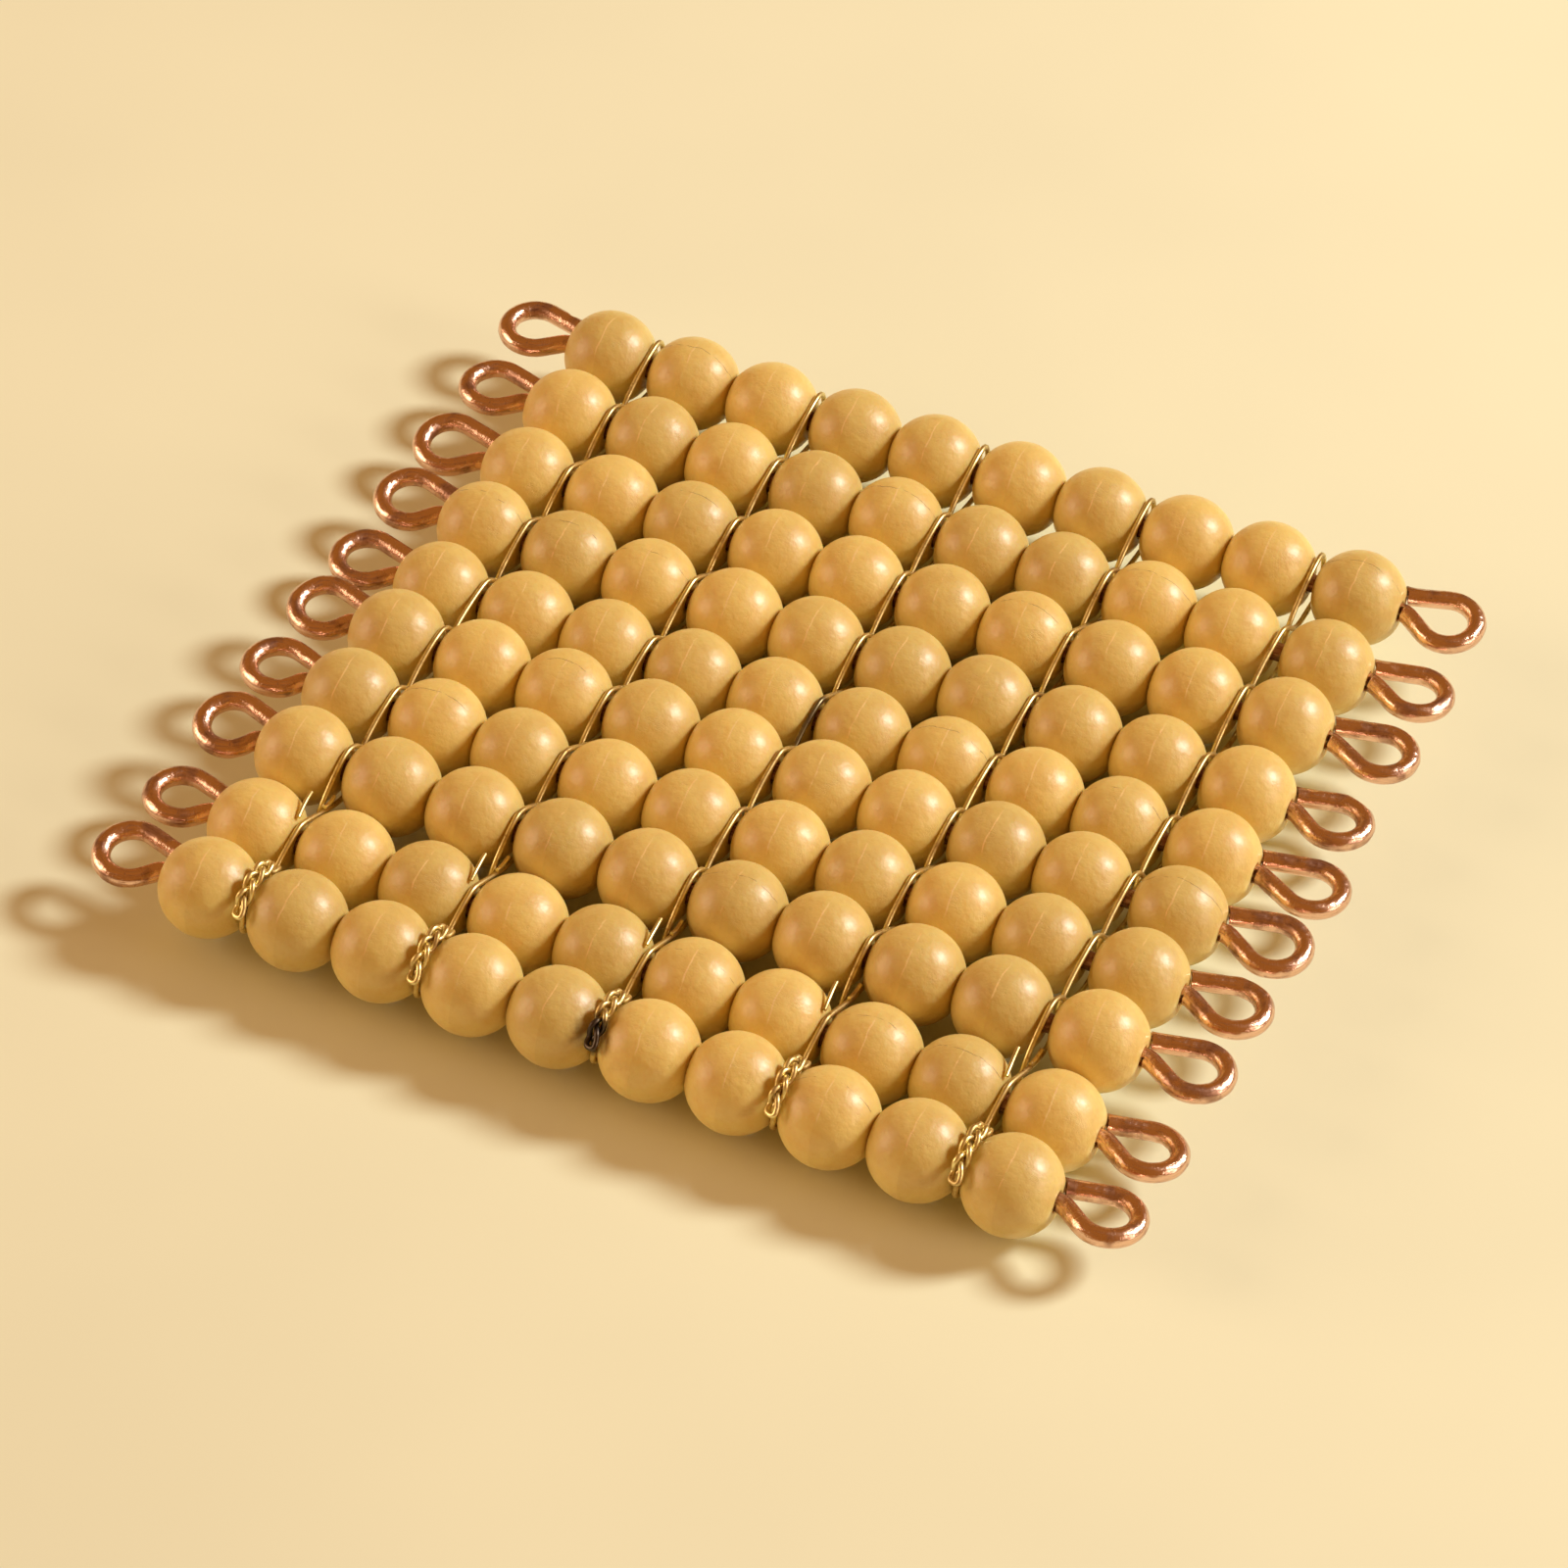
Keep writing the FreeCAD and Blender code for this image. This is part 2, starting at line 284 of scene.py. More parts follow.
def pole_centre(places, end):
    """Middle of the flat ring at the end of a bead row that min or max picks."""
    limit = end(place.x for place in places)
    ring = [place for place in places if abs(place.x - limit) < POLE_DEPTH]
    low = Vector(map(min, *ring))
    high = Vector(map(max, *ring))
    return (low + high) / 2


def bar_ends(bar):
    """Centres of the outer faces of a bar's first and last bead."""
    places = [vertex.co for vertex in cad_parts["bead_row_%02d" % (bar + 1)].data.vertices]
    return pole_centre(places, min), pole_centre(places, max)


def bead_length(beads):
    pole_radius = beads.bore / 2 + beads.pole_rim
    return 2 * math.sqrt((beads.diameter / 2) ** 2 - pole_radius ** 2)


def bead_centres(bar, beads):
    """Centres of a bar's beads: nine counted from its left end, the last from its right end."""
    left, right = bar_ends(bar)
    along = (right - left).normalized()
    length = bead_length(beads)
    pitch = length + beads.bead_gap
    centres = []
    for number in range(BEADS - 1):
        wedged = (number + 1) // 2 * beads.laced_gap
        centres.append(left + along * (length / 2 + number * pitch + wedged))
    centres.append(right - along * (length / 2))
    return centres


def groove_middle(centres, groove):
    return (centres[groove] + centres[groove + 1]) / 2


def bar_turn(bar):
    """Rotation from the X axis to a bar's own direction."""
    left, right = bar_ends(bar)
    return X_AXIS.rotation_difference(right - left).to_matrix()


def direction(azimuth, elevation=0.0):
    """Unit vector at an azimuth from +X towards +Y and an elevation."""
    flat = math.cos(elevation)
    return Vector((flat * math.cos(azimuth), flat * math.sin(azimuth), math.sin(elevation)))


# Shader nodes

def fill_inputs(tree, node, inputs):
    """Set a shader node's inputs, or link those that another node gives."""
    for key, value in inputs.items():
        if isinstance(value, bpy.types.NodeSocket):
            tree.links.new(value, node.inputs[key])
        else:
            node.inputs[key].default_value = value


def add_node(tree, kind, inputs=None, **settings):
    """Add a shader node with its settings and inputs."""
    made = tree.nodes.new(kind)
    for name, value in settings.items():
        setattr(made, name, value)
    fill_inputs(tree, made, inputs or {})
    return made


def new_finish(name):
    """A plain material, its node tree and its shader."""
    material = bpy.data.materials.new(name)
    material.use_nodes = True
    tree = material.node_tree
    return material, tree, tree.nodes["Principled BSDF"]


def read_vector(tree, name):
    return add_node(tree, "ShaderNodeAttribute", attribute_name=name).outputs["Vector"]


def read_value(tree, name):
    return add_node(tree, "ShaderNodeAttribute", attribute_name=name).outputs["Fac"]


def object_place(tree):
    return add_node(tree, "ShaderNodeTexCoord").outputs["Object"]


def axes_of(tree, vector):
    """The three parts of a vector."""
    return add_node(tree, "ShaderNodeSeparateXYZ", {0: vector}).outputs


def math_node(tree, operation, first, second=0.0, clamp=False):
    made = add_node(
        tree, "ShaderNodeMath", {0: first, 1: second}, operation=operation, use_clamp=clamp)
    return made.outputs[0]


def plus(tree, total, *others):
    for other in others:
        total = math_node(tree, "ADD", total, other)
    return total


def times(tree, product, *others):
    for other in others:
        product = math_node(tree, "MULTIPLY", product, other)
    return product


def from_half(tree, value):
    """How far a value lies above a half."""
    return math_node(tree, "SUBTRACT", value, 0.5)


def distance(tree, spot, place):
    """How far the shaded spot lies from a place."""
    made = add_node(tree, "ShaderNodeVectorMath", {0: spot, 1: place}, operation="DISTANCE")
    return made.outputs["Value"]


def ramp(tree, value, low, high, start=0.0, end=1.0):
    """Map a value smoothly from one range to another."""
    made = add_node(
        tree, "ShaderNodeMapRange",
        {"Value": value, "From Min": low, "From Max": high, "To Min": start, "To Max": end},
        interpolation_type="SMOOTHSTEP")
    return made.outputs["Result"]


def mix_colour(tree, factor, first, second, blend="MIX"):
    made = add_node(
        tree, "ShaderNodeMix", {0: factor, 6: first, 7: second},
        data_type="RGBA", blend_type=blend)
    return made.outputs[2]


def shade(tree, colour, level):
    """Darken or brighten a colour by a level."""
    grey = add_node(tree, "ShaderNodeCombineXYZ", {0: level, 1: level, 2: level})
    return mix_colour(tree, 1.0, colour, grey.outputs[0], blend="MULTIPLY")


def bumped(tree, height, strength, depth):
    """Normals tilted by a height, in which 1.0 stands for this depth."""
    made = add_node(
        tree, "ShaderNodeBump", {"Height": height, "Strength": strength, "Distance": depth})
    return made.outputs[0]


def grain(tree, place, scale, detail=3.0, stretch=(1, 1, 1), rough=0.55):
    """Noise read at a place, stretched along its axes."""
    mapped = add_node(tree, "ShaderNodeMapping", {"Vector": place, "Scale": stretch})
    made = add_node(
        tree, "ShaderNodeTexNoise",
        {"Vector": mapped.outputs[0], "Scale": scale, "Detail": detail, "Roughness": rough})
    return made.outputs[0]


def opaque(colour):
    return (*colour, 1.0)


# Beads

BEAD_SEGMENTS = 48
BEAD_RINGS = 30
RIM_SHARE = 0.3  # of the rim's rounding, left at the pole ring's edge
RING_SLOPE = 0.22 * MM  # width of the pole ring's sloped outer part
NOISE_STEPS = (7.3, 3.1, 5.7)  # each bead reads its own part of the noise
NOISE_SPAN = 40
SWELL_LENGTH = 2.6 * MM
RIPPLE_LENGTH = 0.9 * MM
RIPPLE_SHARE = 0.18
CRACKED_SHARE = 0.22
MOST_LEAN = 0.35  # of a bead on its wire, in degrees


def model_bead(beads):
    """One bead about the X axis, at the origin."""
    radius = beads.diameter / 2
    half = bead_length(beads) / 2
    bore_radius = beads.bore / 2
    shoulder = half - beads.rim_round
    seam_radius = radius - beads.seam_height
    bpy.ops.mesh.primitive_uv_sphere_add(
        segments=BEAD_SEGMENTS, ring_count=BEAD_RINGS, radius=seam_radius,
        rotation=(0, math.pi / 2, 0))
    bead = bpy.context.active_object
    bpy.ops.object.transform_apply(location=False, rotation=True, scale=False)

    bpy.ops.object.mode_set(mode="EDIT")
    bpy.ops.mesh.select_mode(type="EDGE")
    for side in (-1, 1):
        bpy.ops.mesh.select_all(action="SELECT")
        bpy.ops.mesh.bisect(
            plane_co=(side * shoulder, 0, 0), plane_no=(side, 0, 0), clear_outer=True,
            threshold=0.001 * MM)
    select_rings(bead, lambda place: near(abs(place.x), shoulder))
    ring = Vector((shoulder, math.sqrt(seam_radius ** 2 - shoulder ** 2)))
    flat = bore_radius + beads.pole_rim
    for rim in (Vector((half - RIM_SHARE * beads.rim_round, flat)),
                Vector((half, flat - RING_SLOPE)),
                Vector((half, bore_radius + beads.bore_round)),
                Vector((half - beads.bore_round, bore_radius))):
        bpy.ops.mesh.extrude_edges_move()
        bpy.ops.transform.resize(
            value=(rim.x / ring.x, rim.y / ring.y, rim.y / ring.y), center_override=(0, 0, 0))
        ring = rim
    bpy.ops.mesh.bridge_edge_loops()

    def on_seam(place):
        return near(place.x, 0) and place.yz.length > beads.bore

    select_rings(bead, on_seam)
    bpy.ops.mesh.bevel(offset=beads.seam_width / 2, segments=2, affect="EDGES")
    select_rings(bead, on_seam)
    proud = radius / seam_radius
    bpy.ops.transform.resize(value=(1, proud, proud), center_override=(0, 0, 0))
    bpy.ops.mesh.select_all(action="SELECT")
    bpy.ops.mesh.normals_make_consistent(inside=False)
    bpy.ops.object.mode_set(mode="OBJECT")
    bpy.ops.object.shade_smooth_by_angle(angle=math.radians(40))
    return bead


def press_bead(mesh, beads, seed):
    """Let the moulded surface wander a little inwards from a true ball, but not in the bore."""
    offset = Vector([seed * step for step in NOISE_STEPS])
    kept = beads.bore * 0.75
    for vertex in mesh.vertices:
        if vertex.co.yz.length < kept:
            continue
        wave = noise.noise(vertex.co / SWELL_LENGTH + offset)
        ripple = noise.noise(vertex.co / RIPPLE_LENGTH + offset)
        depth = (0.5 + 0.5 * wave + RIPPLE_SHARE * ripple) * beads.unevenness
        vertex.co *= 1 - max(depth, 0) / vertex.co.length


def place_bead(pattern, centre, turn, beads, chance):
    """A copy of the pattern bead, turned on its wire and set in its place."""
    bead = pattern.copy()
    bead.data = pattern.data.copy()
    bpy.context.scene.collection.objects.link(bead)
    mesh = bead.data
    press_bead(mesh, beads, chance.random() * NOISE_SPAN)
    local = [vertex.co / MM for vertex in mesh.vertices]
    store_points(mesh, "bead_place", "FLOAT_VECTOR", local)
    tone = chance.random()
    store_points(mesh, "bead_tone", "FLOAT", [tone] * len(local))
    cracked = 1.0 if chance.random() < CRACKED_SHARE else 0.0
    store_points(mesh, "bead_crack", "FLOAT", [cracked] * len(local))
    spin = Matrix.Rotation(math.radians(chance.uniform(-180, 180)), 3, "X")
    lean = Matrix.Rotation(math.radians(chance.uniform(-MOST_LEAN, MOST_LEAN)), 3, "Z")
    store_points(mesh, "bead_side", "FLOAT_VECTOR", [spin @ place for place in local])
    mesh.transform(Matrix.Translation(centre) @ (turn @ lean @ spin).to_4x4())
    return bead


def seam_flash_and_highlight_mask(tree, shifted, tone, along, across, on_top):
    """Strength of the pale seam, a thin broken line on top that fades out in front and behind:
    moulding flash, and a painted highlight where its ridge catches the light.
    """
    slant = times(tree, from_half(tree, tone), 0.12)
    wobble = times(tree, from_half(tree, grain(tree, shifted, 0.5, 2.0)), 0.5)
    drift = plus(tree, wobble, times(tree, across, slant))
    from_seam = math_node(tree, "ABSOLUTE", plus(tree, along, drift))
    line = ramp(tree, from_seam, 0.03, 0.085, 0.9, 0.0)
    broken = ramp(tree, grain(tree, shifted, 0.75, 4.0), 0.36, 0.50)
    # Painted highlight: the seam is pale only on the top of each bead, whatever its spin, where the
    # light catches the ridge.
    in_front = ramp(tree, across, -3.1, -2.6)
    behind = ramp(tree, across, -0.4, 0.9, 1.0, 0.12)
    return times(tree, line, broken, in_front, behind, on_top)


def crack_mask(tree, shifted, across, on_top):
    """Strength of the hairline crack along the top of a cracked bead."""
    path = times(tree, from_half(tree, grain(tree, shifted, 0.5, 5.0)), 0.9)
    from_crack = math_node(tree, "ABSOLUTE", plus(tree, across, path))
    line = ramp(tree, from_crack, 0.01, 0.045, 0.6, 0.0)
    broken = ramp(tree, grain(tree, shifted, 0.8, 3.0), 0.44, 0.56)
    return times(tree, line, on_top, broken, read_value(tree, "bead_crack"))


def plastic_finish(beads, soot_place):
    """Satin ochre plastic with a pale seam that is partly painted highlight, mottling, scuffs, fine
    cracks and one sooty place.
    """
    material, tree, shader = new_finish("ochre_plastic")
    place = read_vector(tree, "bead_place")  # in mm from the bead's middle
    tone = read_value(tree, "bead_tone")
    own = add_node(tree, "ShaderNodeCombineXYZ", {0: times(tree, tone, 90.0)}).outputs[0]
    shifted = add_node(
        tree, "ShaderNodeVectorMath", {0: place, 1: own}, operation="ADD").outputs[0]
    along = axes_of(tree, place)[0]
    _, across, up = axes_of(tree, read_vector(tree, "bead_side"))
    on_top = ramp(tree, up, 1.2, 2.2)

    mottle = grain(tree, shifted, 0.42, 4.0)
    fleck = grain(tree, shifted, 2.6, 5.0, rough=0.65)
    deep = plus(tree, ramp(tree, mottle, 0.35, 0.70, 0.0, 0.6),
                ramp(tree, fleck, 0.45, 0.75, 0.0, 0.25))
    colour = mix_colour(tree, deep, opaque(beads.colour), opaque(beads.deep_colour))
    bright = ramp(tree, tone, 0.0, 1.0, 0.92, 1.06)
    other_half = ramp(tree, along, -0.03, 0.03, 1.0, 0.965)
    colour = shade(tree, colour, times(tree, bright, other_half))

    # The pale seam is moulding flash, and also a painted highlight on the top of each bead.
    seam = seam_flash_and_highlight_mask(tree, shifted, tone, along, across, on_top)
    crack = crack_mask(tree, shifted, across, on_top)
    smoke = times(tree, grain(tree, place, 1.6, 5.0), 1.6 * MM)
    far = plus(tree, distance(tree, object_place(tree), soot_place), smoke)
    soot = ramp(tree, far, 1.3 * MM, 2.7 * MM, 0.7, 0.0)
    for mask, layer in ((seam, beads.seam_flash_and_highlight_colour), (crack, beads.crack_colour),
                        (soot, beads.crack_colour)):
        colour = mix_colour(tree, mask, colour, opaque(layer))

    scuff_patch = ramp(tree, grain(tree, shifted, 0.7, 2.0), 0.56, 0.68)
    scuff_line = grain(tree, shifted, 5.0, 4.0, stretch=(0.5, 2.2, 1.0), rough=0.7)
    scuff = times(tree, scuff_patch, ramp(tree, scuff_line, 0.5, 0.62))
    dull = plus(tree, ramp(tree, fleck, 0.3, 0.8, 0.42, 0.56), times(tree, scuff, 0.14))
    skin = grain(tree, shifted, 7.0, 4.0, rough=0.6)
    swell = grain(tree, shifted, 1.6, 2.0)
    height = plus(tree, times(tree, skin, 0.15), times(tree, scuff, -0.35),
                  times(tree, swell, 2.0), times(tree, crack, -1.5))
    fill_inputs(tree, shader, {
        "Base Color": colour,
        "Roughness": dull,
        "Normal": bumped(tree, height, 0.8, 0.05 * MM),
        "Specular IOR Level": 0.5,
        "Diffuse Roughness": 0.8,
        "Coat Weight": 0.5,
        "Coat Roughness": 0.34,
        "Subsurface Weight": 0.35,
        "Subsurface Radius": (1.0, 0.55, 0.25),
        "Subsurface Scale": 0.9 * MM,
    })
    return material


# Wires

LOOP_STEPS = 44  # straight pieces in the round part of a loop
BEND_STEPS = 6  # and in the bend at its neck
MOST_BEND = 0.48  # of a loop's straight leg, for the bend at its neck
LEG_STEP = 0.2 * MM
CORE_STEP = 3 * MM
BAR_WIRE_SIDES = 24
GROUND_GAP = 0.09 * MM  # between a cut end and the round of its bead
END_BEHIND = 0.1 * MM  # a cut end's vertices lie from this far behind the bead's pole
END_BEYOND = 0.02 * MM  # to this far beyond the end's plane
PLIER_MARKS = 16  # on each bar wire
MARKED_LENGTH = 17 * MM  # of the wire at each end
MARK_REACH = (0.4, 1.1)  # to each side along the wire, in mm
MARK_STRENGTH = (0.4, 1.0)


def add_wire_curve(name, points, radius, sides, smooth):
    """A round wire along its points, as a curve: smooth, or straight from point to point."""
    curve = bpy.data.curves.new(name, "CURVE")
    curve.dimensions = "3D"
    spline = curve.splines.new("NURBS" if smooth else "POLY")
    spline.points.add(len(points) - 1)
    for knot, point in zip(spline.points, points):
        knot.co = (*point, 1.0)
    if smooth:
        spline.order_u = 3
        spline.use_endpoint_u = True
        spline.resolution_u = 5
    curve.bevel_depth = radius
    curve.bevel_resolution = sides // 4 - 1
    curve.use_fill_caps = True
    wire = bpy.data.objects.new(name, curve)
    bpy.context.scene.collection.objects.link(wire)
    return wire


def lengths_along(points):
    """Distance along the wire at each of its points."""
    total = [0.0]
    for before, after in zip(points, points[1:]):
        total.append(total[-1] + (after - before).length)
    return total


def make_solid(wire):
    """Turn a wire curve into a closed mesh."""
    make_only(wire)
    bpy.ops.object.convert(target="MESH")
    bpy.ops.object.mode_set(mode="EDIT")
    bpy.ops.mesh.select_all(action="SELECT")
    bpy.ops.mesh.remove_doubles(threshold=0.004 * MM)
    bpy.ops.mesh.normals_make_consistent(inside=False)
    bpy.ops.object.mode_set(mode="OBJECT")
    bpy.ops.object.shade_smooth_by_angle(angle=math.radians(50))


def nearest_stations(mesh, points):
    """For each vertex, the number of the nearest point of the wire's middle."""
    tree = kdtree.KDTree(len(points))
    for number, point in enumerate(points):
        tree.insert(point, number)
    tree.balance()
    return [tree.find(vertex.co)[1] for vertex in mesh.vertices]


def tangent_point(outside, centre, radius, side):
    """Where a line from an outside point touches a circle, to the left or right of its centre."""
    across = centre - outside
    turn = math.asin(radius / across.length) * side
    length = math.sqrt(across.length ** 2 - radius ** 2)
    return outside + direction(math.atan2(across.y, across.x) + turn) * length


def evenly(start, end, step):
    """Points from start to end, both left out, about a step apart."""
    count = max(2, round((end - start).length / step))
    return [start.lerp(end, number / count) for number in range(1, count)]


def loop_path(wires, reach, end_offset):
    """Points of one end loop from its neck to its cut end.

    Drawn in the XY plane with the bead's pole at the origin and the bar pointing to +X.
    """
    radius = wires.loop_radius
    centre = Vector((reach - radius - wires.diameter / 2, wires.loop_sway, 0))
    neck = Vector((wires.neck_length, 0, 0))
    cut_end = Vector((wires.end_gap, end_offset, 0))
    leaves = tangent_point(neck, centre, radius, -1)
    returns = tangent_point(cut_end, centre, radius, 1)

    heading = (leaves - neck).normalized()
    before = neck - X_AXIS * wires.neck_bend
    after = neck + heading * min(wires.neck_bend, MOST_BEND * (leaves - neck).length)
    points = []
    for number in range(BEND_STEPS + 1):
        share = number / BEND_STEPS
        points.append(before.lerp(neck, share).lerp(neck.lerp(after, share), share))
    points += evenly(after, leaves, LEG_STEP)
    start = math.atan2(leaves.y - centre.y, leaves.x - centre.x)
    end = math.atan2(returns.y - centre.y, returns.x - centre.x)
    for number in range(LOOP_STEPS + 1):
        points.append(centre + direction(start + (end - start) * number / LOOP_STEPS) * radius)
    points += evenly(returns, cut_end, LEG_STEP) + [cut_end]
    return points


def bar_wire_points(bar, wires):
    """Middle of one bar's wire, from its left cut end to its right one."""
    left, right = bar_ends(bar)
    low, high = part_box("bar_wire_%02d" % (bar + 1))
    turn = bar_turn(bar)
    ends = []
    for side, pole, reach, roll, offset in (
            (-1, left, left.x - low.x, wires.roll_left[bar], wires.end_offset[0]),
            (1, right, high.x - right.x, wires.roll_right[bar], wires.end_offset[1])):
        rolled = Matrix.Rotation(roll, 3, "X")
        points = [rolled @ point for point in loop_path(wires, reach, offset)]
        for point in points:
            point.x *= side
        ends.append([pole + turn @ point for point in points])
    core = evenly(ends[0][0], ends[1][0], CORE_STEP)
    return ends[0][::-1] + core + ends[1]


def grind_ends(wire, bar, wires, beads):
    """Hollow both cut ends to the round of the last beads, just clear of them."""
    centres = bead_centres(bar, beads)
    poles = bar_ends(bar)
    reach = beads.diameter / 2 + GROUND_GAP
    for side, pole, centre in ((-1, poles[0], centres[0]), (1, poles[1], centres[-1])):
        for vertex in wire.data.vertices:
            offset = (vertex.co - centre).yz.length
            beyond = (vertex.co.x - pole.x) * side
            at_end = -END_BEHIND < beyond < wires.end_gap + END_BEYOND
            if at_end and wires.diameter / 2 < offset < reach:
                vertex.co.x = centre.x + side * math.sqrt(reach ** 2 - offset ** 2)


def work_wire(wire, points, wires, chance):
    """Press plier flats into a bar wire's loops and store each point's place on the wire."""
    mesh = wire.data
    stations = nearest_stations(mesh, points)
    travelled = lengths_along(points)
    whole = travelled[-1]
    radius = wires.diameter / 2
    marks = []
    for _ in range(PLIER_MARKS):
        place = chance.uniform(0, MARKED_LENGTH)
        if chance.random() < 0.5:
            place = whole - place
        angle = chance.uniform(0, 2 * math.pi)
        facing = Vector((0, math.cos(angle), math.sin(angle)))
        spread = chance.uniform(*MARK_REACH) * MM
        marks.append((place, spread, facing, chance.uniform(*MARK_STRENGTH)))
    places = []
    for vertex, station in zip(mesh.vertices, stations):
        middle = points[station]
        before = points[max(station - 1, 0)]
        after = points[min(station + 1, len(points) - 1)]
        heading = (after - before).normalized()
        offset = vertex.co - middle
        outward = heading.cross(Vector((0, 0, 1))).normalized()
        rise = outward.cross(heading)
        own = Vector((0, offset.dot(outward), offset.dot(rise)))
        places.append(Vector((travelled[station], own.y, own.z)) / MM)
        for place, spread, facing, strength in marks:
            share = 1 - abs(travelled[station] - place) / spread
            if share <= 0:
                continue
            limit = radius - wires.mark_depth * strength * min(1, 2 * share)
            reach = own.dot(facing)
            if reach > limit:
                vertex.co -= (outward * facing.y + rise * facing.z) * (reach - limit)
    store_points(mesh, "wire_place", "FLOAT_VECTOR", places)


def copper_finish(wires):
    """Drawn copper with brown tarnish, lengthwise streaks, nicks from the pliers and painted shade
    on the core between the beads.
    """
    material, tree, shader = new_finish("drawn_copper")
    place = read_vector(tree, "wire_place")
    spot = object_place(tree)
    streak = grain(tree, place, 2.2, 4.0, stretch=(0.35, 2.5, 2.5), rough=0.6)
    cloud = grain(tree, spot, 420.0, 4.0)
    nick = grain(tree, place, 3.0, 3.0, stretch=(2.6, 0.5, 0.5), rough=0.7)
    from_middle = math_node(tree, "ABSOLUTE", axes_of(tree, spot)[0])
    # Painted shade: the core between the beads is darkened towards the tarnish colour, where the
    # beads shade it.
    painted_core_shade = ramp(tree, from_middle, 33.5 * MM, 35.0 * MM, 0.7, 0.0)
    worn = plus(tree, ramp(tree, streak, 0.46, 0.70, 0.0, 0.4),
                ramp(tree, cloud, 0.48, 0.68, 0.0, 0.65),
                ramp(tree, nick, 0.60, 0.72, 0.0, 0.5))
    # From here the tarnish mask also holds the painted shade of the core, for both colour and
    # roughness.
    worn = math_node(tree, "ADD", worn, painted_core_shade, clamp=True)
    dent = grain(tree, place, 0.9, 2.0)
    height = plus(tree, times(tree, streak, 0.35), times(tree, nick, -0.4),
                  times(tree, dent, 2.2))
    fill_inputs(tree, shader, {
        "Base Color": mix_colour(
            tree, worn, opaque(wires.colour), opaque(wires.tarnish_colour)),
        "Metallic": 1.0,
        "Roughness": plus(tree, times(tree, worn, 0.26), 0.20),
        "Normal": bumped(tree, height, 0.7, 0.09 * MM),
    })
    return material


# Lacing

DRIFT = 0.3  # of a strand over a bar, in halves of the strands' spacing
PARTING = 1.55  # of two crossing strands, in the same halves
TIGHT_CROSSING = (1.20, 1.32)  # how far behind a bar, in seat radii
LOOSE_FRONT = 2  # front bars whose crossings always lie half way
PLAIT_REST = 0.7  # of the plait's half width, between the beads
SWING_STEP = 30  # between two corners of a plaited strand, in degrees
EYE_ANGLE = math.radians(12)  # below the plait's low end
EYE_HEIGHTS = (0.2 * MM, 0.6 * MM)  # of its two corners
HOOK_ANGLE = math.radians(12)  # from the plait's top to the hook, and on to its cut end
HOOK_DEPTH = 0.5 * MM  # of the cut end
FRONT_BEND = math.radians(40)  # between corners of the strand under the front bar
TAIL_RADIUS = 0.4  # in diameters of the wire
LACING_SIDES = 12


def seat_radius(beads, lacing, offset):
    """Distance from a bar's axis at which a strand just clears the beads beside its groove."""
    reach = beads.diameter / 2 + lacing.diameter / 2 + lacing.clearance
    pitch = bead_length(beads) + beads.bead_gap
    return math.sqrt(reach ** 2 - ((pitch + beads.laced_gap) / 2 - offset) ** 2)


